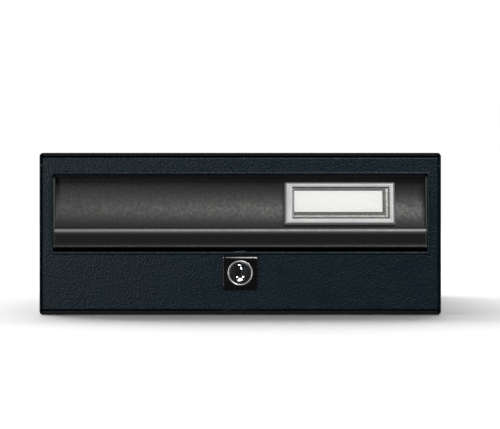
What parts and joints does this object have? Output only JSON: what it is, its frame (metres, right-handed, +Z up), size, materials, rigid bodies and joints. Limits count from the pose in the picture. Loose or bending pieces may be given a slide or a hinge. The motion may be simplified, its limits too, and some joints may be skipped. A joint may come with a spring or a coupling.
{
  "type": "cluster mailbox unit",
  "caption": "Lobby letter box module with a top-hung door, an inward letter flap with a name plate and a cam lock.",
  "frame": {"origin": "centre of the underside of the bounding box", "axes": "+Z up; the front with the flap and lock faces -Y; +X is to the right of somebody facing the front"},
  "size_m": [0.27, 0.3768, 0.109],
  "materials": {
    "casing_coat": "satin black powder coat",
    "door_coat": "textured anthracite powder coat",
    "anodised": "satin anodised extrusion",
    "cap_plastic": "moulded grey plastic",
    "zinc_steel": "bright zinc plated",
    "rivet_steel": "blackened steel",
    "spring_steel": "drawn wire",
    "black_plastic": "moulded nylon",
    "gloss_black": "polished moulding",
    "buffer_rubber": "moulded rubber",
    "silver_trim": "silver lacquered moulding",
    "plate_base": "moulded light grey",
    "card_stock": "matt white card",
    "clear_window": "clear moulded window",
    "lock_chrome": "bright chrome plate",
    "plug_metal": "dark nickel plate",
    "wafer_brass": "stamped brass"
  },
  "bodies": {
    "cabinet": {"body_casing": "casing_coat", "seam_strip": "casing_coat", "top_rail": "casing_coat", "bottom_rail": "casing_coat", "rail_rivets": "rivet_steel", "rear_panel": "casing_coat", "rear_rivets": "rivet_steel", "lock_keeper": "zinc_steel", "door_stop_angles": "zinc_steel", "door_stop_buffers": "buffer_rubber"},
    "door": {"door_panel": "door_coat", "pivot_block_left": "black_plastic", "pivot_block_right": "black_plastic", "hinge_pins": "zinc_steel", "pivot_block_rivets": "rivet_steel", "flap_stop_pads": "buffer_rubber", "flap_spring_left": "spring_steel", "flap_spring_right": "spring_steel", "lock_escutcheon": "gloss_black", "lock_barrel": "lock_chrome", "lock_nut": "zinc_steel"},
    "flap": {"flap_profile": "anodised", "flap_end_cap_left": "cap_plastic", "flap_end_cap_right": "cap_plastic", "flap_pivot_rod": "zinc_steel", "nameplate_frame": "silver_trim", "nameplate_base": "plate_base", "name_card": "card_stock", "nameplate_window": "clear_window", "nameplate_screws": "zinc_steel"},
    "lock_plug": {"lock_plug": "plug_metal", "lock_wafers": "wafer_brass", "lock_cam": "zinc_steel", "cam_washer": "zinc_steel", "cam_screw": "zinc_steel"}
  },
  "joints": [
    {"name": "door_hinge", "type": "hinge", "parent": "cabinet", "child": "door", "pos_m": [0, -0.1826, 0.1001], "axis": [-1, 0, 0], "range_deg": [0, 90]},
    {"name": "flap_swing", "type": "hinge", "parent": "door", "child": "flap", "pos_m": [0, -0.1771, 0.0971], "axis": [1, 0, 0], "range_deg": [0, 70], "stiffness_Nm_per_rad": 0.03, "springref_deg": -34.38, "deforming": ["flap_spring_left", "flap_spring_right"]},
    {"name": "lock_turn", "type": "hinge", "parent": "door", "child": "lock_plug", "pos_m": [0, -0.1866, 0.0282], "axis": [0, 1, 0], "range_deg": [0, 180]}
  ]
}
